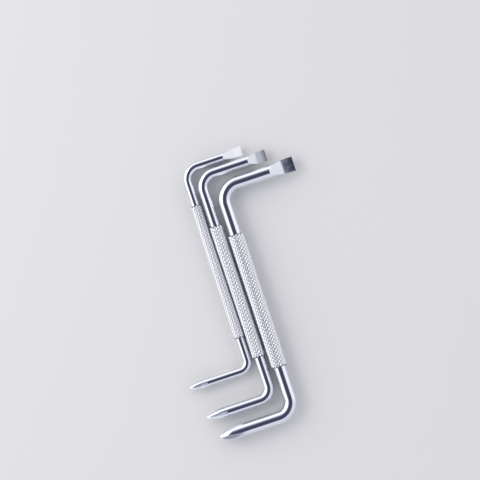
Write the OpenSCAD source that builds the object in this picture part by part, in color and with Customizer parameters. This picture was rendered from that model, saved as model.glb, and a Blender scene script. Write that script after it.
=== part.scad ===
// Offset screwdrivers in three sizes, lying side by side as a nested set.
// Each tool is one steel bar with an arm bent out at each end: a flat blade on the upper arm,
// a cross point on the lower arm, and a knurled grip on the shaft between them.
// Millimetres. The shafts run along Y, the tools lie flat on z = 0 and the set is centred on the origin.

/* [Small screwdriver] */
// Length over both arms, from outer face to outer face
small_reach = 83; // [78:0.5:100]
// Bar diameter
small_bar_d = 3.4; // [3:0.1:3.8]
// Shaft axis to the edge of the flat blade
small_blade_arm = 23.1; // [21:0.1:30]
// Shaft axis to the nose of the cross point
small_cross_arm = 23.8; // [21:0.1:30]
// Radius of the blade arm's bend, at the bar's axis
small_blade_bend_r = 5.3; // [3.2:0.1:8]
// Radius of the cross arm's bend, at the bar's axis
small_cross_bend_r = 3.8; // [3.2:0.1:8]
// Length of the knurled grip
small_grip_l = 53; // [40:1:56]
// How far the middle of the grip lies from the middle of the shaft, towards the cross point
small_grip_shift = 1; // [-2:0.1:2]
// How far the knurl stands above the bar
small_grip_rise = 0.3; // [0.2:0.05:0.5]
// Width of the flat blade at its edge
small_blade_w = 3.8; // [3.2:0.1:4.4]
// Thickness of the flat blade at its edge
small_blade_t = 0.6; // [0.5:0.05:0.9]
// Length of the flat blade, ramp and land together
small_blade_l = 7.5; // [6:0.1:9]
// Length of the blade's flat land, behind its edge
small_land_l = 3.3; // [2:0.1:4]
// Diameter of the cross point's nose
small_nose_d = 0.8; // [0.6:0.05:1.2]
// Length of the cross point's taper
small_point_l = 3.7; // [3:0.1:5]
// Thickness of the cross point's wings
small_wing_t = 0.6; // [0.5:0.05:0.8]
// Length of the cross point's flutes
small_flute_l = 7.2; // [6:0.1:8.5]
// Turn of the cross point about its arm: 0 has a wing on top, and more leans it towards the blade end
small_cross_turn = 45; // [0:1:90]

/* [Medium screwdriver] */
// Length over both arms, from outer face to outer face
medium_reach = 92; // [88:0.5:110]
// Bar diameter
medium_bar_d = 4.2; // [3.8:0.1:4.8]
// Shaft axis to the edge of the flat blade
medium_blade_arm = 26.7; // [24:0.1:34]
// Shaft axis to the nose of the cross point
medium_cross_arm = 25.8; // [24:0.1:34]
// Radius of the blade arm's bend, at the bar's axis
medium_blade_bend_r = 5.6; // [4:0.1:8]
// Radius of the cross arm's bend, at the bar's axis
medium_cross_bend_r = 4.7; // [4:0.1:8]
// Length of the knurled grip
medium_grip_l = 52.5; // [40:0.5:56]
// How far the middle of the grip lies from the middle of the shaft, towards the cross point
medium_grip_shift = 1.8; // [-2:0.1:2]
// How far the knurl stands above the bar
medium_grip_rise = 0.4; // [0.25:0.05:0.6]
// Width of the flat blade at its edge
medium_blade_w = 4.6; // [4:0.1:5.4]
// Thickness of the flat blade at its edge
medium_blade_t = 0.8; // [0.6:0.05:1.1]
// Length of the flat blade, ramp and land together
medium_blade_l = 7.3; // [6:0.1:10]
// Length of the blade's flat land, behind its edge
medium_land_l = 3.8; // [2.5:0.1:4.5]
// Diameter of the cross point's nose
medium_nose_d = 1; // [0.8:0.05:1.5]
// Length of the cross point's taper
medium_point_l = 5.1; // [4:0.1:6]
// Thickness of the cross point's wings
medium_wing_t = 0.8; // [0.65:0.05:1]
// Length of the cross point's flutes
medium_flute_l = 8.2; // [7:0.1:9.5]
// Turn of the cross point about its arm: 0 has a wing on top, and more leans it towards the blade end
medium_cross_turn = 45; // [0:1:90]

/* [Large screwdriver] */
// Length over both arms, from outer face to outer face
large_reach = 95; // [90:0.5:115]
// Bar diameter
large_bar_d = 5.1; // [4.6:0.1:5.8]
// Shaft axis to the edge of the flat blade
large_blade_arm = 29.5; // [28:0.1:38]
// Shaft axis to the nose of the cross point
large_cross_arm = 29.5; // [28:0.1:38]
// Radius of the blade arm's bend, at the bar's axis
large_blade_bend_r = 6.6; // [5:0.1:10]
// Radius of the cross arm's bend, at the bar's axis
large_cross_bend_r = 6.1; // [5:0.1:10]
// Length of the knurled grip
large_grip_l = 53; // [40:1:56]
// How far the middle of the grip lies from the middle of the shaft, towards the cross point
large_grip_shift = 0.1; // [-2:0.1:2]
// How far the knurl stands above the bar
large_grip_rise = 0.45; // [0.3:0.05:0.7]
// Width of the flat blade at its edge
large_blade_w = 5.7; // [5:0.1:6.8]
// Thickness of the flat blade at its edge
large_blade_t = 1; // [0.8:0.05:1.4]
// Length of the flat blade, ramp and land together
large_blade_l = 9.7; // [8:0.1:12]
// Length of the blade's flat land, behind its edge
large_land_l = 4.2; // [3:0.1:6]
// Diameter of the cross point's nose
large_nose_d = 1.4; // [1:0.05:1.8]
// Length of the cross point's taper
large_point_l = 4.8; // [4:0.1:7]
// Thickness of the cross point's wings
large_wing_t = 1; // [0.8:0.05:1.3]
// Length of the cross point's flutes
large_flute_l = 9.9; // [8:0.1:11.5]
// Turn of the cross point about its arm: 0 has a wing on top, and more leans it towards the blade end
large_cross_turn = 15; // [0:1:90]

/* [Knurl] */
// Width of a knurl diamond round the grip, which is rounded to fit a whole number of them
knurl_w = 1.27; // [1.1:0.01:2]
// Length of a knurl diamond along the grip, rounded in the same way
knurl_l = 1.41; // [1.2:0.01:2.2]
// Depth of the knurl's grooves, as a share of how far it stands above the bar
knurl_depth_share = 0.8; // [0.5:0.05:0.9]

/* [Ground ends] */
// Slope of the blade's land towards its edge, on each side
land_slope = 2; // [0:0.5:4]
// Slope of the cross point's shallow taper, next to the bar
shoulder_slope = 13.25; // [8:0.25:15]
// Length of the shallow taper, as a share of the whole taper
shoulder_share = 0.45; // [0.2:0.05:0.6]
// Slope of the flutes' roots at the nose
flute_slope = 5.75; // [4:0.25:6.5]
// Angle between a flute's middle plane and each of its sides
flute_side_angle = 46; // [44:0.5:50]
// Width of the narrow flat at a flute's root
flute_root_w = 0.15; // [0.08:0.01:0.25]

/* [Nesting] */
// Gap between the small and the medium grip
small_medium_grip_gap = 0.2; // [0.1:0.05:3]
// Gap between the medium and the large grip
medium_large_grip_gap = 0.7; // [0.1:0.05:3]
// Gap between the small and the medium blade arm, where each is at its widest
small_medium_arm_gap = 0.3; // [0.2:0.05:3]
// Gap between the medium and the large blade arm, where each is at its widest
medium_large_arm_gap = 1.2; // [0.2:0.05:3]

/* [Hidden] */
$fn = 64;
// How far a cutter runs past what it cuts, and a bar into the grip that it joins
overrun = 1;

// Grip diameters over the knurl
small_grip_d = small_bar_d + 2 * small_grip_rise;
medium_grip_d = medium_bar_d + 2 * medium_grip_rise;
large_grip_d = large_bar_d + 2 * large_grip_rise;

// Height of each arm's axis above the middle of its shaft
small_arm_y = (small_reach - small_bar_d) / 2;
medium_arm_y = (medium_reach - medium_bar_d) / 2;
large_arm_y = (large_reach - large_bar_d) / 2;

// Half the width that each blade arm takes up
small_arm_half = max(small_bar_d, small_blade_w) / 2;
medium_arm_half = max(medium_bar_d, medium_blade_w) / 2;
large_arm_half = max(large_bar_d, large_blade_w) / 2;

// Steps across and down the row: grips lie side by side, and each arm lies clear of the next tool's arm
medium_step_x = (small_grip_d + medium_grip_d) / 2 + small_medium_grip_gap;
large_step_x = (medium_grip_d + large_grip_d) / 2 + medium_large_grip_gap;
medium_step_y = small_arm_half + medium_arm_half + small_medium_arm_gap + abs(medium_arm_y - small_arm_y);
large_step_y = medium_arm_half + large_arm_half + medium_large_arm_gap + abs(large_arm_y - medium_arm_y);

// Middle of each shaft, counted from the small tool's
medium_x = medium_step_x;
large_x = medium_x + large_step_x;
medium_y = -medium_step_y;
large_y = medium_y - large_step_y;

// Edges of the whole set, and its middle
left_x = min(-small_cross_arm, medium_x - medium_cross_arm, large_x - large_cross_arm);
right_x = max(small_blade_arm, medium_x + medium_blade_arm, large_x + large_blade_arm);
top_y = max(small_arm_y + small_arm_half, medium_y + medium_arm_y + medium_arm_half,
            large_y + large_arm_y + large_arm_half);
bottom_y = min(-small_reach / 2, medium_y - medium_reach / 2, large_y - large_reach / 2);
middle_x = (left_x + right_x) / 2;
middle_y = (top_y + bottom_y) / 2;

// Radius of a milling wheel that leaves the bar's surface a run before a point, a drop above it,
// and passes that point at a given slope
function wheel_radius(run, drop, slope) =
    (run * run + drop * drop) / (2 * (drop * cos(slope) - run * sin(slope)));

// Columns of the knurl's lattice round a grip, two to each diamond
function knurl_columns(grip_d) = 2 * round(PI * grip_d / knurl_w);

// Height of a grip's axis when it lies on two neighbouring columns of crests
function lying_height(grip_d) = grip_d / 2 * cos(180 / knurl_columns(grip_d));

// Lattice point of the knurl: crests and roots alternate, and both end rings lie at the root
function knurl_point(row, i, rows, around, crest_r, root_r, length) =
    let (on_crest = (row + i) % 2 == 0 && row > 0 && row < rows)
    let (r = on_crest ? crest_r : root_r)
    let (angle = 180 * (2 * i + 1) / around)
    [r * cos(angle), r * sin(angle), length * row / rows];

// The two triangles between four neighbouring lattice points, parted along the groove
function knurl_cell(row, i, around) =
    let (a = row * around + i)
    let (b = row * around + (i + 1) % around)
    let (c = b + around)
    let (d = a + around)
    (row + i) % 2 == 0 ? [[a, d, b], [b, d, c]] : [[a, c, b], [a, d, c]];

// Knurled grip along +Z: crossing grooves rolled into the bar leave rows of four-sided points
module knurled_grip(grip_d, depth, length) {
    around = knurl_columns(grip_d);
    rows = round(2 * length / knurl_l);
    crest_r = grip_d / 2;
    root_r = crest_r - depth;
    points = [for (row = [0:rows], i = [0:around - 1])
        knurl_point(row, i, rows, around, crest_r, root_r, length)];
    sides = [for (row = [0:rows - 1], i = [0:around - 1]) each knurl_cell(row, i, around)];
    low_end = [for (i = [0:around - 1]) i];
    high_end = [for (i = [around - 1:-1:0]) rows * around + i];
    polyhedron(points = points, faces = concat(sides, [low_end, high_end]));
}

// Quarter bend of the bar about Z
module bend(bend_r, bar_d) {
    rotate_extrude(angle = 90) translate([bend_r, 0]) circle(d = bar_d);
}

// What is pressed and ground off one face of a blade: a ramp down from the bar, then a land to the edge
module blade_face_cut(length, bar_d, blade_w, blade_t, blade_l, land_l) {
    ramp_x = length - blade_l;
    land_x = length - land_l;
    end_x = length + overrun;
    land_half_t = blade_t / 2 + land_l * tan(land_slope);
    end_half_t = blade_t / 2 - overrun * tan(land_slope);
    rotate([90, 0, 0]) linear_extrude(blade_w + bar_d, center = true)
        polygon([[ramp_x, bar_d / 2], [land_x, land_half_t], [end_x, end_half_t],
                 [end_x, blade_w], [ramp_x, blade_w]]);
}

// Straight arm along +X with its end spread to the blade's width and thinned on both faces
module blade_arm(length, bar_d, blade_w, blade_t, blade_l, land_l) {
    // The bar starts to spread half its diameter before the ramps
    spread_x = length - blade_l - bar_d / 2;
    difference() {
        rotate([0, 90, 0]) rotate_extrude()
            polygon([[0, 0], [bar_d / 2, 0], [bar_d / 2, spread_x], [blade_w / 2, length], [0, length]]);
        for (face = [0, 1]) mirror([0, 0, face])
            blade_face_cut(length, bar_d, blade_w, blade_t, blade_l, land_l);
    }
}

// Cutting edge of the wheel that mills a flute: a ring with a V-shaped rim, turning about Y
module flute_wheel(wheel_r, depth) {
    rim_half_w = flute_root_w / 2;
    hub_half_w = rim_half_w + depth * tan(flute_side_angle);
    rotate([90, 0, 0]) rotate_extrude()
        polygon([[wheel_r, -rim_half_w], [wheel_r, rim_half_w],
                 [wheel_r - depth, hub_half_w], [wheel_r - depth, -hub_half_w]]);
}

// Straight arm along +X with its end turned to a blunt point, and four flutes that leave a cross of wings
module cross_arm(length, bar_d, nose_d, point_l, wing_t, flute_l, turn) {
    shoulder_l = point_l * shoulder_share;
    shoulder_r = bar_d / 2 - shoulder_l * tan(shoulder_slope);
    root_r = wing_t / sqrt(2) + flute_root_w / 2;
    wheel_r = wheel_radius(flute_l, bar_d / 2 - root_r, flute_slope);
    difference() {
        rotate([0, 90, 0]) rotate_extrude()
            polygon([[0, 0], [bar_d / 2, 0], [bar_d / 2, length - point_l],
                     [shoulder_r, length - point_l + shoulder_l], [nose_d / 2, length], [0, length]]);
        for (quarter = [0:3]) rotate([turn + 45 + 90 * quarter, 0, 0]) translate([length, 0, root_r])
            rotate([0, flute_slope, 0]) translate([0, 0, wheel_r]) flute_wheel(wheel_r, bar_d);
    }
}

// One screwdriver about the middle of its shaft, which runs along Y
module screwdriver(reach, bar_d, blade_arm_l, cross_arm_l, blade_bend_r, cross_bend_r,
                   grip_l, grip_shift, grip_rise, blade_w, blade_t, blade_l, land_l,
                   nose_d, point_l, wing_t, flute_l, cross_turn) {
    arm_y = (reach - bar_d) / 2;
    grip_top_y = grip_l / 2 - grip_shift;
    grip_bottom_y = -grip_l / 2 - grip_shift;
    upper_bar_l = arm_y - blade_bend_r - grip_top_y;
    lower_bar_l = arm_y - cross_bend_r + grip_bottom_y;
    color("silver") union() {
        // Turned so that two columns of crests lie level below the axis
        translate([0, grip_bottom_y, 0]) rotate([-90, 90, 0])
            knurled_grip(bar_d + 2 * grip_rise, grip_rise * knurl_depth_share, grip_l);
        translate([0, grip_top_y - overrun, 0]) rotate([-90, 0, 0])
            cylinder(h = upper_bar_l + overrun, d = bar_d);
        translate([0, grip_bottom_y + overrun, 0]) rotate([90, 0, 0])
            cylinder(h = lower_bar_l + overrun, d = bar_d);
        translate([blade_bend_r, arm_y - blade_bend_r, 0]) rotate([0, 0, 90])
            bend(blade_bend_r, bar_d);
        translate([-cross_bend_r, cross_bend_r - arm_y, 0]) rotate([0, 0, 270])
            bend(cross_bend_r, bar_d);
        translate([blade_bend_r, arm_y, 0])
            blade_arm(blade_arm_l - blade_bend_r, bar_d, blade_w, blade_t, blade_l, land_l);
        translate([-cross_bend_r, -arm_y, 0]) rotate([0, 0, 180])
            cross_arm(cross_arm_l - cross_bend_r, bar_d, nose_d, point_l, wing_t, flute_l, cross_turn);
    }
}

// Smallest tool, at the left of the row
module small_screwdriver() {
    translate([-middle_x, -middle_y, lying_height(small_grip_d)])
        screwdriver(small_reach, small_bar_d, small_blade_arm, small_cross_arm,
                    small_blade_bend_r, small_cross_bend_r,
                    small_grip_l, small_grip_shift, small_grip_rise,
                    small_blade_w, small_blade_t, small_blade_l, small_land_l,
                    small_nose_d, small_point_l, small_wing_t, small_flute_l, small_cross_turn);
}

// Middle tool, with its blade arm tucked under the small one's
module medium_screwdriver() {
    translate([medium_x - middle_x, medium_y - middle_y, lying_height(medium_grip_d)])
        screwdriver(medium_reach, medium_bar_d, medium_blade_arm, medium_cross_arm,
                    medium_blade_bend_r, medium_cross_bend_r,
                    medium_grip_l, medium_grip_shift, medium_grip_rise,
                    medium_blade_w, medium_blade_t, medium_blade_l, medium_land_l,
                    medium_nose_d, medium_point_l, medium_wing_t, medium_flute_l, medium_cross_turn);
}

// Largest tool, at the right of the row and the lowest
module large_screwdriver() {
    translate([large_x - middle_x, large_y - middle_y, lying_height(large_grip_d)])
        screwdriver(large_reach, large_bar_d, large_blade_arm, large_cross_arm,
                    large_blade_bend_r, large_cross_bend_r,
                    large_grip_l, large_grip_shift, large_grip_rise,
                    large_blade_w, large_blade_t, large_blade_l, large_land_l,
                    large_nose_d, large_point_l, large_wing_t, large_flute_l, large_cross_turn);
}

small_screwdriver();
medium_screwdriver();
large_screwdriver();
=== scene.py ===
# %% [markdown]
# # Three offset screwdrivers, nested in a row
# Each tool is one steel bar, bent at both ends, plated bright, with a knurled grip rolled into its
# middle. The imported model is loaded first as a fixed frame: it gives the size, the place and the
# moving body of each tool, and everything below is modelled in that same space, in metres.

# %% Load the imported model
import math

import bmesh
import bpy
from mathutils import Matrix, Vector


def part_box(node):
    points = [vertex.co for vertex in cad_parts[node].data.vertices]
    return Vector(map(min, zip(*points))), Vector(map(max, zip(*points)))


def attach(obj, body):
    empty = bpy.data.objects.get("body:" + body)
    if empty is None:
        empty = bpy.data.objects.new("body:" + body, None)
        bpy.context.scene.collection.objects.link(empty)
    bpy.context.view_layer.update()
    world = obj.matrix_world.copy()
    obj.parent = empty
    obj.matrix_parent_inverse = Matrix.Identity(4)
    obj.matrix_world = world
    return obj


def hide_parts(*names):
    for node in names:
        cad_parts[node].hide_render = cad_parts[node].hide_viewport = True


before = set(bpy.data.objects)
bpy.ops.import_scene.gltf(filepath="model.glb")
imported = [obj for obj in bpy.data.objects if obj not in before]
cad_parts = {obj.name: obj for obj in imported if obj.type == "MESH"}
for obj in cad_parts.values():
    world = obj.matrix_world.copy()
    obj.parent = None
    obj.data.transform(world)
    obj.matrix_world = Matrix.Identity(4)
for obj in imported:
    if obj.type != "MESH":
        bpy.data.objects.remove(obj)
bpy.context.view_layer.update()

MM = 0.001

# %% [markdown]
# ## What each tool measures
# A toolmaker would write these on the drawing of each size: the bar, the two arms, the two bends,
# the grip, the flat blade and the cross point. They are in millimetres, and `cross_turn` is in
# degrees. `at` is the middle of the shaft, which the row's nesting fixes.

# %% Sizes of the three tools
TOOLS = {
    "small": dict(
        at=(-8.3, 10.9, 1.97538), reach=83, bar_d=3.4,
        blade_arm=23.1, cross_arm=23.8, blade_bend_r=5.3, cross_bend_r=3.8,
        grip_l=53, grip_shift=1, grip_rise=0.3,
        blade_w=3.8, blade_t=0.6, blade_l=7.5, land_l=3.3,
        nose_d=0.8, point_l=3.7, wing_t=0.6, flute_l=7.2, cross_turn=45),
    "medium": dict(
        at=(-3.6, 2.3, 2.47861), reach=92, bar_d=4.2,
        blade_arm=26.7, cross_arm=25.8, blade_bend_r=5.6, cross_bend_r=4.7,
        grip_l=52.5, grip_shift=1.8, grip_rise=0.4,
        blade_w=4.6, blade_t=0.8, blade_l=7.3, land_l=3.8,
        nose_d=1, point_l=5.1, wing_t=0.8, flute_l=8.2, cross_turn=45),
    "large": dict(
        at=(2.6, -5.1, 2.98357), reach=95, bar_d=5.1,
        blade_arm=29.5, cross_arm=29.5, blade_bend_r=6.6, cross_bend_r=6.1,
        grip_l=53, grip_shift=0.1, grip_rise=0.45,
        blade_w=5.7, blade_t=1, blade_l=9.7, land_l=4.2,
        nose_d=1.4, point_l=4.8, wing_t=1, flute_l=9.9, cross_turn=15),
}
for size, tool in TOOLS.items():
    low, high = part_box(size + "_screwdriver")
    print(size, "reach", tool["reach"], "in the frame", round((high.y - low.y) / MM, 2))

# %% [markdown]
# ## Small helpers for modelling by operator
# Blender's operators act on whatever is selected. So everything is deselected before a primitive
# is added, and inside a mesh the next vertices, edges or faces are picked by where they are.

# %% Selecting
NEAR = 0.001 * MM   # places less than a micrometre apart count as one


def deselect():
    bpy.ops.object.select_all(action="DESELECT")


def only(piece):
    """Makes one object the selected and the active one."""
    deselect()
    piece.select_set(True)
    bpy.context.view_layer.objects.active = piece


def edit():
    bpy.ops.object.mode_set(mode="EDIT")


def leave_edit():
    bpy.ops.object.mode_set(mode="OBJECT")


def pick(kind, test):
    """In edit mode, selects the vertices, edges or faces that pass a test, and says how many."""
    bpy.ops.mesh.select_mode(type={"verts": "VERT", "edges": "EDGE", "faces": "FACE"}[kind])
    bpy.ops.mesh.select_all(action="DESELECT")
    mesh = bmesh.from_edit_mesh(bpy.context.edit_object.data)
    found = [element for element in getattr(mesh, kind) if test(element)]
    for element in found:
        element.select_set(True)
    mesh.select_flush_mode()
    bmesh.update_edit_mesh(bpy.context.edit_object.data)
    return len(found)


# %% [markdown]
# ## The moves that shape a piece
# Pushing a ring of points, drawing it in or out and turning it about a point are all that a bent
# bar, a cutter or a knurl needs. Sizes go in as millimetres and come out as metres. A primitive's
# place is put into its mesh at once, so that every finished piece sits at the origin.

# %% Pushing, scaling and applying
def push(x, y, z):
    """Extrudes what is selected by a move in millimetres."""
    bpy.ops.mesh.extrude_region_move(TRANSFORM_OT_translate={"value": (x * MM, y * MM, z * MM)})


def scale_about(centre, factors):
    bpy.ops.transform.resize(value=factors, center_override=[c * MM for c in centre])


def turn_about(centre, axis, degrees):
    """Turns what is selected right-handed about a point.

    With no window, Blender's own sign is reversed.
    """
    bpy.ops.transform.rotate(value=-math.radians(degrees), orient_axis=axis,
                             center_override=[c * MM for c in centre])


def apply_place(piece, sides=(1, 1, 1)):
    """Stretches a new primitive to its sides and puts its place and turn into its mesh."""
    only(piece)
    piece.scale = sides
    bpy.ops.object.transform_apply(location=True, rotation=True, scale=True)


def tidy_mesh(piece):
    """Merges doubles and turns every face outwards."""
    only(piece)
    edit()
    bpy.ops.mesh.select_all(action="SELECT")
    bpy.ops.mesh.remove_doubles(threshold=NEAR)
    bpy.ops.mesh.normals_make_consistent(inside=False)
    leave_edit()


def say(piece):
    triangles = sum(len(p.vertices) - 2 for p in piece.data.polygons)
    print(piece.name, len(piece.data.vertices), "vertices", triangles, "triangles")


# %% [markdown]
# ## Colours and nodes
# Colours are written as they look, in sRGB hex, and one function turns them into the linear values
# that Blender's sockets take. One more adds a node with its settings and its links. Materials could
# be drawn by hand in the node editor, but in code every value of a finish can be read and compared.

# %% Helpers for materials
def linear(hex_colour):
    """An sRGB hex colour as linear red, green, blue and alpha."""
    parts = [int(hex_colour[i:i + 2], 16) / 255 for i in (1, 3, 5)]
    return [c / 12.92 if c <= 0.04045 else ((c + 0.055) / 1.055) ** 2.4 for c in parts] + [1]


def add_node(tree, kind, settings=None, **inputs):
    """Adds a node. Inputs are values, or (node, output name) for a link; _ stands for a space."""
    made = tree.nodes.new(kind)
    for name, value in (settings or {}).items():
        setattr(made, name, value)
    for name, value in inputs.items():
        socket = made.inputs[name.replace("_", " ")]
        if isinstance(value, tuple):
            tree.links.new(value[0].outputs[value[1]], socket)
        else:
            socket.default_value = value
    return made


def new_material(name):
    made = bpy.data.materials.new(name)
    made.use_nodes = True
    made.node_tree.nodes.clear()
    return made, made.node_tree


# %% [markdown]
# ## What a plated surface does to light
# The bar is drawn steel, polished, plated with nickel and flashed with chrome. To the eye it is a
# cool, near-white mirror. The plate follows what the polishing left: very shallow waves about a
# millimetre long that make reflections quiver, and a faint haze that comes and goes. An image could
# carry both, but noise on Object coordinates does it better here, because a bent bar has no seam
# that an image could start from.

# %% Waves and haze
CLOUD_MM = 4                      # the haze comes and goes over this length
NOISE_LOW, NOISE_HIGH = 0.3, 0.7  # nearly all of a noise's values lie between these


def plate_surface(tree, roughness, haze, wave_mm, wave_height_mm, drawn_out=1):
    """Waves and haze of a plated surface, as nodes for a shader's normal and roughness.

    drawn_out stretches the waves along the arms, into the lines that a wheel leaves.
    """
    place = add_node(tree, "ShaderNodeTexCoord")
    along = add_node(tree, "ShaderNodeMapping", Vector=(place, "Object"),
                     Scale=[1 / drawn_out, 1, 1])
    waves = add_node(tree, "ShaderNodeTexNoise", Vector=(along, "Vector"),
                     Scale=1 / (wave_mm * MM), Detail=2.0, Roughness=0.4)
    clouds = add_node(tree, "ShaderNodeTexNoise", Vector=(place, "Object"),
                      Scale=1 / (CLOUD_MM * MM), Detail=5.0, Roughness=0.6)
    dull = add_node(tree, "ShaderNodeMapRange", Value=(clouds, "Fac"),
                    From_Min=NOISE_LOW, From_Max=NOISE_HIGH,
                    To_Min=roughness, To_Max=roughness + haze)
    bump = add_node(tree, "ShaderNodeBump", Height=(waves, "Fac"),
                    Strength=1.0, Distance=wave_height_mm * MM)
    return bump, dull


# %% [markdown]
# ## Bright nickel-chrome plate
# One function makes every plated metal here, because they differ only in colour, in how dull they
# are and in what a tool left on them. A metal keeps Blender's default IOR, and its colour tints
# what it mirrors. Two blades get a painted shade that darkens their colour towards their edge, so
# the colour may change along an arm.

# %% Plated metal
def painted_edge_shade(tree, colour, shaded_edge_colour, edge_x, reach):
    """Painted shade: a colour that changes over the last millimetres of an arm, as a link for a
    shader.
    """
    place = add_node(tree, "ShaderNodeTexCoord")
    split = add_node(tree, "ShaderNodeSeparateXYZ", Vector=(place, "Object"))
    near = add_node(tree, "ShaderNodeMapRange", Value=(split, "X"),
                    From_Min=(edge_x - reach) * MM, From_Max=edge_x * MM)
    tone = add_node(tree, "ShaderNodeValToRGB", Fac=(near, "Result"))
    for stop, value in zip(tone.color_ramp.elements, (colour, shaded_edge_colour)):
        stop.color = linear(value)
    return tone, "Color"


def plate(name, colour, roughness, haze, wave_mm, wave_height_mm, drawn_out=1, edge=None):
    """A plated metal.

    edge gives a blade a painted shade towards its edge: the shaded colour, where along X the edge
    is and how far the shade reaches.
    """
    material, tree = new_material(name)
    bump, dull = plate_surface(tree, roughness, haze, wave_mm, wave_height_mm, drawn_out)
    base = painted_edge_shade(tree, colour, *edge) if edge else linear(colour)
    shader = add_node(tree, "ShaderNodeBsdfPrincipled", Base_Color=base, Metallic=1.0,
                      Roughness=(dull, "Result"), Normal=(bump, "Normal"))
    add_node(tree, "ShaderNodeOutputMaterial", Surface=(shader, "BSDF"))
    print(name, colour, "roughness", roughness, "to", round(roughness + haze, 2))
    return material


# Polished and plated steel: a clean dark and white stripe along each bar, a little uneven
bright_plate = plate("bright_nickel_chrome_plate", "#e9ebf1", 0.05, 0.05, 1.2, 0.0025)

# %% [markdown]
# ## Ground blade faces
# The blades are ground after they are pressed and plated thinly over the grinding lines. A coarse
# belt leaves the small blade white and matt, and finer ones leave the larger blades half bright, so
# their flat ends pick up the dark overhead. On those two a painted shade also darkens the colour
# towards the edge, where the face reflects darker. The real lines are some hundredths of a
# millimetre apart, too fine to show, so they are drawn about half a millimetre apart, which just
# shows. They are bump and not geometry, because no outline would show them.

# %% Ground faces, one finish for each size
DRAWN_OUT = 12   # a wheel's lines are this many times longer than they are wide
blade_edge = {size: tool["at"][0] + tool["blade_arm"] for size, tool in TOOLS.items()}
ground_faces = {
    # Scatters everything it reflects: reads as white metal
    "small": plate("coarsely_ground_steel", "#fdfdfe", 0.95, 0.05, 0.6, 0.05, DRAWN_OUT),
    # A satin face with a painted shade that darkens it softly in its last two millimetres
    "medium": plate("satin_ground_steel", "#f0f3f7", 0.52, 0.06, 0.5, 0.03, DRAWN_OUT,
                    edge=("#90949a", blade_edge["medium"], 2.2)),
    # Nearly a mirror, in patches: a pale ramp against a dark, mottled land, with a painted shade
    # over its last 3.6 mm
    "large": plate("finely_ground_steel", "#eef2f7", 0.15, 0.30, 0.5, 0.02, DRAWN_OUT,
                   edge=("#a8aeb6", blade_edge["large"], 3.6)),
}

# %% [markdown]
# ## Milled flutes
# A milling wheel cuts the flutes before plating. Its teeth leave lines along the flute, so a flute
# is duller than the bar. Its colour is painted grey as painted shade in the recess, so it shows as
# a soft grey leaf between bright wings, and the smaller the tool, the darker its painted leaf. The
# teeth's lines are drawn a quarter of a millimetre apart, coarser than the real ones, so that they
# dull the leaf unevenly.

# %% Flute finish, one for each size
# Each flute colour is painted shade in the recess, darker on the narrower points
shaded_milled_flutes = {
    size: plate("shaded_milled_flute_" + size, colour, 0.28, 0.10, 0.25, 0.004, DRAWN_OUT)
    for size, colour in (("small", "#c1c4d2"), ("medium", "#cbceda"), ("large", "#d8dbe4"))}

# %% [markdown]
# ## Rolled and plated knurl
# The knurl is plated with the bar. Its flat tops are burnished by the rollers and by hands, so they
# are bright. The bottoms of the grooves are duller, and their colour is painted grey as painted
# shade in the recesses. Colour and roughness could follow the angle between faces, but that is
# the same on a ridge and in a groove. So each vertex of the grip's mesh will keep how high it
# stands between groove and top, and the material reads that.

# %% Knurl material
# The groove colour is painted shade in the recesses. It gives way to the top colour a little way up
# each facet
GROOVE_SHADE_COLOUR, TOP_COLOUR = "#727586", "#fcfcfe"
GROOVE_ROUGH, TOP_ROUGH = 0.34, 0.27
BRIGHT_FROM = 0.6   # how far up from a groove the full brightness begins


def knurl_finish():
    material, tree = new_material("plated_rolled_knurl")
    # Waves of half a millimetre, less than a diamond, tilt each flat top a little its own way
    bump, dull = plate_surface(tree, 0.0, 0.08, 0.5, 0.003)
    stands = add_node(tree, "ShaderNodeAttribute", {"attribute_name": "stands"})
    tone = add_node(tree, "ShaderNodeValToRGB", Fac=(stands, "Fac"))
    groove, top = tone.color_ramp.elements
    groove.position, groove.color = 0, linear(GROOVE_SHADE_COLOUR)
    top.position, top.color = BRIGHT_FROM, linear(TOP_COLOUR)
    worn = add_node(tree, "ShaderNodeMapRange", Value=(stands, "Fac"),
                    To_Min=GROOVE_ROUGH, To_Max=TOP_ROUGH)
    rough = add_node(tree, "ShaderNodeMath", {"operation": "ADD"}, Value=(worn, "Result"))
    tree.links.new(dull.outputs["Result"], rough.inputs[1])
    shader = add_node(tree, "ShaderNodeBsdfPrincipled", Base_Color=(tone, "Color"), Metallic=1.0,
                      Roughness=(rough, "Value"), Normal=(bump, "Normal"))
    add_node(tree, "ShaderNodeOutputMaterial", Surface=(shader, "BSDF"))
    print(material.name, "grooves", GROOVE_SHADE_COLOUR, "tops", TOP_COLOUR)
    return material


# White diamonds in a fine grey net of painted groove shade, darkest where their flat tops face the
# gap overhead
knurl_plate = knurl_finish()

# %% [markdown]
# ## The bends and the blade end of the bar
# The real bar is cut to length and bent cold round two formers. A curve with a bevel would give a
# bent bar too, but its section would be awkward to press and point. So one ring of points is pushed
# along the shaft, spun a quarter turn round each former, and pushed on along the arm. That keeps
# the section round and the reflections even, all round both bends. Towards the blade the bar is
# pressed wider, so the last ring is scaled.

# %% Bend the bar and spread its blade end
BEND_STEPS = 24


def arm_heights(tool):
    """Distance of both arms' axes from the middle of the shaft."""
    return (tool["reach"] - tool["bar_d"]) / 2


def quarter_bend(centre_x, centre_y):
    """Spins the selected ring a quarter turn round a former, clockwise as seen from above."""
    bpy.ops.mesh.spin(steps=BEND_STEPS, angle=math.pi / 2, axis=(0, 0, 1),
                      center=(centre_x * MM, centre_y * MM, 0))


def ring_scale(centre, radius_from, radius_to):
    factor = radius_to / radius_from
    scale_about(centre, (1, factor, factor))


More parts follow.
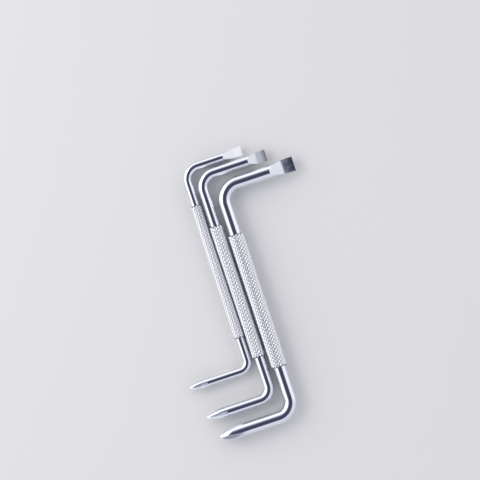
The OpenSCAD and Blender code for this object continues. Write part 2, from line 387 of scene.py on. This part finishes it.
def blade_run(tool, x, y, z):
    """From the end of the bend to the blade's edge."""
    r = tool["bar_d"] / 2
    spread_x = tool["blade_arm"] - tool["blade_l"] - r
    push(spread_x - tool["blade_bend_r"], 0, 0)
    push(tool["blade_arm"] - spread_x, 0, 0)
    ring_scale((x + tool["blade_arm"], y, z), r, tool["blade_w"] / 2)
    bpy.ops.mesh.edge_face_add()


# %% [markdown]
# ## The turned point
# The other end is turned on a lathe to a blunt stepped cone: a shallow shoulder first, then the
# steeper point that fits a cross recess. A cone could be joined on, but the reflections would break
# at the seam. So each step is one more push of the same ring, with the ring drawn in.

# %% Point the other end
SHOULDER_SHARE = 0.45    # the shoulder's share of the point's length
SHOULDER_SLOPE = 13.25   # degrees
RUN_UP = 1               # plain bar kept in one stretch before the flutes begin


def cross_run(tool, x, y, z):
    """From the end of the bend to the nose: straight bar, shallow shoulder, steeper point."""
    r = tool["bar_d"] / 2
    shoulder_l = tool["point_l"] * SHOULDER_SHARE
    shoulder_r = r - shoulder_l * math.tan(math.radians(SHOULDER_SLOPE))
    push(-(tool["cross_arm"] - tool["cross_bend_r"] - tool["flute_l"] - RUN_UP), 0, 0)
    push(-(tool["flute_l"] + RUN_UP - tool["point_l"]), 0, 0)
    push(-shoulder_l, 0, 0)
    ring_scale((x - tool["cross_arm"], y, z), r, shoulder_r)
    push(shoulder_l - tool["point_l"], 0, 0)
    ring_scale((x - tool["cross_arm"], y, z), shoulder_r, tool["nose_d"] / 2)
    bpy.ops.mesh.edge_face_add()


# %% [markdown]
# ## The whole bar
# A ring of 64 points is fine enough for a mirror this small. It starts in the middle of the shaft
# and goes up to the blade. Then the first ring is picked again and goes down to the point, so both
# ends grow from one section and the shaft has no seam.

# %% Make the three bars
RING_POINTS = 64


def make_bar(size, tool):
    x, y, z = tool["at"]
    arm_y = arm_heights(tool)
    deselect()
    bpy.ops.mesh.primitive_circle_add(
        vertices=RING_POINTS, radius=tool["bar_d"] / 2 * MM, fill_type="NOTHING",
        location=(x * MM, y * MM, z * MM), rotation=(math.pi / 2, 0, 0))
    bar = bpy.context.object
    bar.name = size + "_bar"
    bar.data.materials.append(bright_plate)
    apply_place(bar)
    edit()
    bpy.ops.mesh.select_all(action="SELECT")
    push(0, arm_y - tool["blade_bend_r"], 0)
    quarter_bend(x + tool["blade_bend_r"], y + arm_y - tool["blade_bend_r"])
    blade_run(tool, x, y + arm_y, z)
    pick("verts", lambda v: abs(v.co.y - y * MM) < NEAR)
    push(0, tool["cross_bend_r"] - arm_y, 0)
    quarter_bend(x - tool["cross_bend_r"], y - arm_y + tool["cross_bend_r"])
    cross_run(tool, x, y - arm_y, z)
    leave_edit()
    tidy_mesh(bar)
    return bar


bars = {size: make_bar(size, tool) for size, tool in TOOLS.items()}
for bar in bars.values():
    say(bar)

# %% [markdown]
# ## Cutting
# Grinding and milling both take metal away, and so does a Boolean modifier. Points could be moved
# onto the ground faces by hand, but a cut finds by itself the curved edge that a flat face leaves
# on a round bar. The cutter's material goes over to the faces that it leaves.

# %% A cut and its finish
def cut(piece, cutter, finish):
    """Takes one solid out of another, and gives the faces that it leaves the cutter's finish."""
    cutter.data.materials.append(finish)
    only(piece)
    modifier = piece.modifiers.new("cut", "BOOLEAN")
    modifier.operation, modifier.solver, modifier.object = "DIFFERENCE", "EXACT", cutter
    modifier.material_mode = "TRANSFER"
    bpy.ops.object.modifier_apply(modifier=modifier.name)
    bpy.data.objects.remove(cutter)


# %% [markdown]
# ## The flat blade
# A press squeezes the end of the arm and a grinder finishes its two faces: a ramp runs down from
# the bar and a land, nearly parallel, runs on to the edge. The waste over a face is a block whose
# foot is bent to that outline: it is bisected where ramp meets land, and each row of its foot is
# moved to its height.

# %% The waste over one face
LAND_SLOPE = math.tan(math.radians(2))   # each face of the land closes in on the edge by this
OVERRUN = 1                        # how far the block runs past the blade's edge
BLOCK_W, BLOCK_H = 9, 5            # wider than any blade, and higher than half of any bar
BLOCK_FOOT = 0.5                   # its foot's distance from the arm's axis before it is shaped
CORNER_SHARE, CORNER_STEPS = 0.1, 6   # the round corner's reach, as a share of the land


def blade_block(tool, side):
    """The waste over one face of the blade. side is 1 above and -1 below."""
    x, y, z = tool["at"]
    y += arm_heights(tool)
    edge_x = x + tool["blade_arm"]
    ramp_x, land_x, far_x = edge_x - tool["blade_l"], edge_x - tool["land_l"], edge_x + OVERRUN
    deselect()
    bpy.ops.mesh.primitive_cube_add(
        size=MM, location=((ramp_x + far_x) / 2 * MM, y * MM,
                           (z + side * (BLOCK_FOOT + BLOCK_H / 2)) * MM))
    block = bpy.context.object
    apply_place(block, (far_x - ramp_x, BLOCK_W, BLOCK_H))
    edit()
    bpy.ops.mesh.select_all(action="SELECT")
    bpy.ops.mesh.bisect(plane_co=(land_x * MM, 0, 0), plane_no=(1, 0, 0))
    foot_z = z * MM + side * BLOCK_FOOT * MM
    for at_x, half_t in (
            (ramp_x, tool["bar_d"] / 2),
            (land_x, tool["blade_t"] / 2 + tool["land_l"] * LAND_SLOPE),
            (far_x, tool["blade_t"] / 2 - OVERRUN * LAND_SLOPE)):
        pick("verts", lambda v: abs(v.co.z - foot_z) < NEAR and abs(v.co.x - at_x * MM) < NEAR)
        bpy.ops.transform.translate(value=(0, 0, side * (half_t - BLOCK_FOOT) * MM))
    round_corner(land_x, z, tool["land_l"])
    leave_edit()
    tidy_mesh(block)
    return block


# %% [markdown]
# ## The corner between ramp and land
# The wheel's corner is a little round, so the ramp runs into the land without a crease, and the
# reflection changes from pale to dark over some tenths of a millimetre. A bevel with a few steps
# does that on the block, before the cut.

# %% Round the corner and grind both faces of each blade
def round_corner(land_x, z, land_l):
    """Bevels the edge across the block's foot where ramp meets land."""
    pick("edges", lambda e: all(abs(v.co.x - land_x * MM) < NEAR
                                and abs(v.co.z - z * MM) < BLOCK_H / 2 * MM for v in e.verts))
    bpy.ops.mesh.bevel(offset=CORNER_SHARE * land_l * MM, segments=CORNER_STEPS, affect="EDGES")


for size, tool in TOOLS.items():
    for side in (1, -1):
        cut(bars[size], blade_block(tool, side), ground_faces[size])
    say(bars[size])

# %% [markdown]
# ## The milling wheel
# Four flutes are milled into the turned cone by a wheel with a V-shaped rim, one after another, a
# quarter turn apart. A flute could be cut by a straight prism, but it would end in a square step,
# and the real one runs out in a curved tip because the wheel is round. The wheel is far larger than
# the point, so only the short piece of its rim that does the cutting is made: a V profile, spun a
# few degrees about the wheel's axle.

# %% The rim of the wheel
FLUTE_SLOPE = 5.75       # slope of a flute's root at the nose, in degrees
RIM_ANGLE = 46           # degrees from the rim's middle plane to either side of its V
RIM_HALF_W = 0.075       # half the width of the rim's blunt edge
RIM_ROUND = 0.07         # its corners' rounding, which leaves the flute's root round
LEAD_IN = 2              # degrees that the rim starts before the nose
RUN_OUT = 1.3            # how far it sweeps on, as a multiple of the flute's length
SWEEP_STEPS = 48


def wheel_radius(run, drop, slope):
    """Radius of a wheel that leaves the bar's surface a run before the nose and a drop above it."""
    return (run ** 2 + drop ** 2) / (2 * (drop * math.cos(slope) - run * math.sin(slope)))


def flute_rim(tool, turn):
    """The working part of the wheel's rim, placed for the flute at that turn from the top."""
    x, y, z = tool["at"]
    x, y = x - tool["cross_arm"], y - arm_heights(tool)
    slope, depth = math.radians(FLUTE_SLOPE), tool["bar_d"]
    root_r = tool["wing_t"] / math.sqrt(2) + RIM_HALF_W
    hub_half_w = RIM_HALF_W + depth * math.tan(math.radians(RIM_ANGLE))
    radius = wheel_radius(tool["flute_l"], tool["bar_d"] / 2 - root_r, slope)
    middle_z = z + root_r + depth / 2
    deselect()
    bpy.ops.mesh.primitive_plane_add(
        size=MM, location=(x * MM, y * MM, middle_z * MM), rotation=(0, math.pi / 2, 0))
    rim = bpy.context.object
    apply_place(rim, (depth, 2 * hub_half_w, 1))
    edit()
    pick("verts", lambda v: v.co.z < middle_z * MM)
    scale_about((x, y, z + root_r), (1, RIM_HALF_W / hub_half_w, 1))
    bpy.ops.mesh.bevel(offset=RIM_ROUND * MM, segments=3, affect="VERTICES")
    bpy.ops.mesh.select_all(action="SELECT")
    axle = (x - radius * math.sin(slope), y, z + root_r + radius * math.cos(slope))
    turn_about(axle, "Y", FLUTE_SLOPE + LEAD_IN)
    sweep = math.radians(FLUTE_SLOPE + LEAD_IN) + slope + RUN_OUT * tool["flute_l"] / radius
    bpy.ops.mesh.spin(steps=SWEEP_STEPS, angle=sweep, axis=(0, 1, 0),
                      center=[c * MM for c in axle])
    bpy.ops.mesh.select_all(action="SELECT")
    turn_about((x, y, z), "X", -turn)
    leave_edit()
    tidy_mesh(rim)
    return rim


# %% [markdown]
# ## Four flutes, four wings
# What stands between the flutes are the four wings that enter a cross recess. The small and the
# medium tool lie with a flute on top. The large one lies turned a little further, with a wing
# nearly on top, so its first flute starts from another angle.

# %% Mill four flutes into each point
for size, tool in TOOLS.items():
    for quarter in range(4):
        turn = tool["cross_turn"] + 45 + 90 * quarter
        cut(bars[size], flute_rim(tool, turn), shaded_milled_flutes[size])
    say(bars[size])

# %% [markdown]
# ## The lattice of a diamond knurl
# A diamond knurl is rolled, not cut: two hardened rollers press crossing grooves into the bar, and
# the steel between them rises into rows of four-sided points. A bump would show the net but leave
# the grip's outline smooth, so it is modelled. All of it follows from one lattice of points round
# and along the grip: every second one is a crest, and the others are roots, as both end rings are.

# %% Measures of the lattice
KNURL_W, KNURL_L = 1.27, 1.41   # one diamond, around the grip and along it
GROOVE_SHARE = 0.4              # a groove's depth, as a share of the grip's rise
FLAT_SHARE = 0.52               # a flat top's width, as a share of its diamond's


def knurl_heights(tool):
    """Radius of the flat tops and depth of the grooves."""
    return tool["bar_d"] / 2 + tool["grip_rise"], tool["grip_rise"] * GROOVE_SHARE


def knurl_lattice(tool):
    """Columns around the grip and rows along it, two of each to a diamond."""
    around = 2 * math.pi * knurl_heights(tool)[0]
    return 2 * round(around / KNURL_W), round(2 * tool["grip_l"] / KNURL_L)


def grip_low_y(tool):
    """The grip's end on the side of the cross point."""
    return tool["at"][1] - tool["grip_l"] / 2 - tool["grip_shift"]


def is_root(tool, v):
    """Whether a lattice point lies at the bottom of a groove."""
    x, y, z = tool["at"]
    columns, rows = knurl_lattice(tool)
    row = round((v.co.y / MM - grip_low_y(tool)) / tool["grip_l"] * rows)
    turn = math.atan2(v.co.x / MM - x, v.co.z / MM - z) / (2 * math.pi) * columns
    return (row + round(turn - 0.5)) % 2 == 1 or row in (0, rows)


for size, tool in TOOLS.items():
    print(size, "grip", knurl_lattice(tool), "columns and rows")

# %% [markdown]
# ## What the knurl's material reads
# The finished grip keeps one number on each vertex: 0 at the bottom of a groove, 1 on a flat top.
# It is measured from the vertex's distance to the grip's axis, so it holds however the mesh was
# made. A painted vertex colour could carry it too, but would have to be painted.

# %% Keep how high each vertex stands
def mark_grooves(grip, tool):
    """Keeps on each vertex how high it stands between groove and flat top."""
    x, y, z = tool["at"]
    top_r, depth = knurl_heights(tool)
    stands = grip.data.attributes.new("stands", "FLOAT", "POINT")
    for v, value in zip(grip.data.vertices, stands.data):
        radius = math.hypot(v.co.x / MM - x, v.co.z / MM - z)
        value.value = max(0.0, min(1.0, (radius - top_r + depth) / depth))


# %% [markdown]
# ## Rolling the knurl
# A grip starts as one open cylinder, divided into the lattice. The roots are drawn in and each cell
# is folded along the groove between its two roots. On cheap hand tools the rollers stop before the
# points are full. So the crests start a little too high and are then cut flat, half way down, by a
# vertex bevel that takes an equal share of each ridge. Copying one diamond round the grip would
# give the same net, but the seams between the copies would have to be closed.

# %% Roll the three grips
def make_grip(size, tool):
    x, y, z = tool["at"]
    top_r, depth = knurl_heights(tool)
    root_r = top_r - depth
    crest_r = root_r + depth / (1 - FLAT_SHARE)
    columns, rows = knurl_lattice(tool)
    deselect()
    bpy.ops.mesh.primitive_cylinder_add(
        vertices=columns, radius=crest_r * MM, depth=tool["grip_l"] * MM, end_fill_type="NOTHING",
        location=(x * MM, (grip_low_y(tool) + tool["grip_l"] / 2) * MM, z * MM),
        rotation=(math.pi / 2, math.pi / columns, 0))
    grip = bpy.context.object
    grip.name = size + "_grip"
    grip.data.materials.append(knurl_plate)
    apply_place(grip)
    edit()
    pick("edges", lambda e: abs(e.verts[0].co.y - e.verts[1].co.y) > MM)
    bpy.ops.mesh.subdivide(number_cuts=rows - 1)
    roots = pick("verts", lambda v: is_root(tool, v))
    scale_about((x, y, z), (root_r / crest_r, 1, root_r / crest_r))
    bpy.ops.mesh.select_all(action="SELECT")
    bpy.ops.mesh.quads_convert_to_tris(quad_method="SHORTEST_DIAGONAL")
    crests = pick("verts", lambda v: not is_root(tool, v))
    bpy.ops.mesh.bevel(offset_type="PERCENT", offset_pct=100 * FLAT_SHARE, segments=1,
                       affect="VERTICES")
    pick("edges", lambda e: e.is_boundary)
    bpy.ops.mesh.edge_face_add()
    leave_edit()
    tidy_mesh(grip)
    mark_grooves(grip, tool)
    print(grip.name, crests, "crests", roots, "roots")
    return grip


grips = {size: make_grip(size, tool) for size, tool in TOOLS.items()}
for grip in grips.values():
    say(grip)

# %% [markdown]
# ## Smooth and crisp
# A plated bar is smooth to the eye, but the edges that the grinder and the milling wheel leave are
# crisp. Subdivision would round them, and flat shading would show the ring's 64 sides. Smoothing by
# angle gives both: only edges that turn by more than the angle stay sharp.

# %% Shade by angle
for pieces, sharp_from in ((bars, 20), (grips, 25)):
    for piece in pieces.values():
        only(piece)
        bpy.ops.object.shade_smooth_by_angle(angle=math.radians(sharp_from))
        print(piece.name, "sharp from", sharp_from, "degrees")

# %% [markdown]
# ## Floor
# A plain pale board lies under the tools, curved nowhere and marked nowhere, and takes their
# shadow. One large plane is enough, as only its top is ever seen.

# %% A plain pale floor
FIBRE_MM = 0.6   # a board's fibres are finer, and are drawn as coarse as still shows
deselect()
bpy.ops.mesh.primitive_plane_add(size=4, location=(0, 0, 0))
floor = bpy.context.object
floor.name = "floor"
# Matt board: a soft, even ground with no reflection of its own
board, tree = new_material("matt_white_board")
place = add_node(tree, "ShaderNodeTexCoord")
fibres = add_node(tree, "ShaderNodeTexNoise", Vector=(place, "Object"),
                  Scale=1 / (FIBRE_MM * MM), Detail=3.0)
bump = add_node(tree, "ShaderNodeBump", Height=(fibres, "Fac"), Strength=0.3, Distance=0.02 * MM)
shader = add_node(tree, "ShaderNodeBsdfPrincipled", Base_Color=linear("#efeeec"), Roughness=0.8,
                  Normal=(bump, "Normal"))
add_node(tree, "ShaderNodeOutputMaterial", Surface=(shader, "BSDF"))
floor.data.materials.append(board)
print(floor.name, "of", board.name)

# %% [markdown]
# ## Light
# Chrome shows only what is round it, so the studio is drawn for its reflections. The tools were lit
# from all round, with the camera in a gap overhead. In the chrome that gap is the dark stripe along
# every bar, and all the rest is white. Panels could stand round the tools, but then they would have
# to be hidden from the camera. A sky that depends only on direction needs no panels.

# %% World
scene = bpy.context.scene
scene.view_settings.view_transform = "Standard"
world = bpy.data.worlds.new("studio")
scene.world = world
world.use_nodes = True
tree = world.node_tree
tree.nodes.clear()
sky = add_node(tree, "ShaderNodeTexCoord")


def sky_patch(lean_x, lean_y, stops):
    """Colours by the angle from a direction that leans from straight up.

    Stops are (degrees, colour).
    """
    cosine = add_node(tree, "ShaderNodeVectorMath", {"operation": "DOT_PRODUCT"},
                      Vector=(sky, "Generated"))
    cosine.inputs[1].default_value = Vector((lean_x, lean_y, 1)).normalized()
    angle = add_node(tree, "ShaderNodeMath", {"operation": "ARCCOSINE"}, Value=(cosine, "Value"))
    share = add_node(tree, "ShaderNodeMapRange", Value=(angle, "Value"), From_Max=math.pi / 2)
    ramp = add_node(tree, "ShaderNodeValToRGB", Fac=(share, "Result"))
    while len(ramp.color_ramp.elements) < len(stops):
        ramp.color_ramp.elements.new(1)
    for stop, (degrees, colour) in zip(ramp.color_ramp.elements, stops):
        stop.position, stop.color = degrees / 90, linear(colour)
    return ramp


# %% [markdown]
# ## Three patches of sky
# Each direction takes the darkest of three patches: the gap itself, a paler shade beside it that
# softens the stripe's upper edge, and a side of the room that is a little dimmer, which greys the
# lower and right-hand flanks of the bars.

# %% The darkest of three patches
gap = sky_patch(0.01, -0.08, [(0, "#373a4a"), (22, "#444759"), (32, "#6a6c7e"), (41, "#f6f6f9"),
                              (72, "#ffffff"), (90, "#d6d8de")])
shade = sky_patch(0.04, 0.18, [(0, "#666977"), (22, "#81849a"), (34, "#c1c3ce"), (44, "#ffffff")])
dim_side = sky_patch(1.4, -3.6, [(0, "#c2c4d0"), (40, "#cfd1da"), (65, "#ececf1"), (85, "#ffffff")])
darkest = gap.outputs["Color"]
for patch in (shade, dim_side):
    mix = add_node(tree, "ShaderNodeMix", {"data_type": "RGBA", "blend_type": "DARKEN"})
    # A Mix node's factor is its input 0, and its colours are inputs 6 and 7 and output 2
    mix.inputs[0].default_value = 1
    tree.links.new(darkest, mix.inputs[6])
    tree.links.new(patch.outputs["Color"], mix.inputs[7])
    darkest = mix.outputs[2]
room = add_node(tree, "ShaderNodeBackground", Strength=1.35)
tree.links.new(darkest, room.inputs["Color"])
add_node(tree, "ShaderNodeOutputWorld", Surface=(room, "Background"))
print("studio of", len(tree.nodes), "nodes")

# %% [markdown]
# ## One soft lamp
# The tools' left and upper flanks are the brightest, and their faint shadows fall to the lower
# right. A half-metre softbox, low on the upper left, does both. It is low so that it stays out of
# the dark gap's reflection.

# %% A large soft lamp from the upper left
lamp_data = bpy.data.lights.new("softbox", "AREA")
lamp_data.shape, lamp_data.size, lamp_data.energy = "SQUARE", 0.5, 1.3
lamp = bpy.data.objects.new("softbox", lamp_data)
lamp.location = (-0.46, 0.33, 0.30)
lamp.rotation_euler = (-lamp.location).to_track_quat("-Z", "Y").to_euler()
scene.collection.objects.link(lamp)
print("lamp", round(lamp.location.length, 2), "m away")

# %% [markdown]
# ## Camera
# The photograph looks straight down from some way off, so the lens is long. Its frame is 182.5 mm
# wide at the middle of the bars, 2.5 mm above the floor, and the tools lean to the left in it, so
# the camera is turned by 18.4 degrees.

# %% Camera
FRAME_W, BARS_Z = 182.5, 2.5   # width of the frame, and the height at which it is measured
OVER_X, OVER_Y = 3.61, 18.68   # the point under the camera
LEAN = 18.4                    # degrees
camera_data = bpy.data.cameras.new("camera")
camera_data.lens, camera_data.sensor_width = 120, 36
camera_data.clip_start, camera_data.clip_end = 0.01, 10
camera = bpy.data.objects.new("camera", camera_data)
distance = FRAME_W * MM * camera_data.lens / camera_data.sensor_width
camera.location = (OVER_X * MM, OVER_Y * MM, distance + BARS_Z * MM)
camera.rotation_euler = (0, 0, math.radians(-LEAN))
scene.collection.objects.link(camera)
scene.camera = camera
print("camera", round(camera.location.z / MM), "mm above the floor")

# %% [markdown]
# ## Each tool moves as one
# A bar and its grip ride on their tool's body and stand for the solid that the imported model has
# there. They could be joined into one mesh, but as two pieces each keeps its own smoothing and
# finish.

# %% Ride on each body and hide the imported solid
for size in TOOLS:
    for piece in (bars[size], grips[size]):
        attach(piece, size + "_tool")
        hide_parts(size + "_screwdriver")
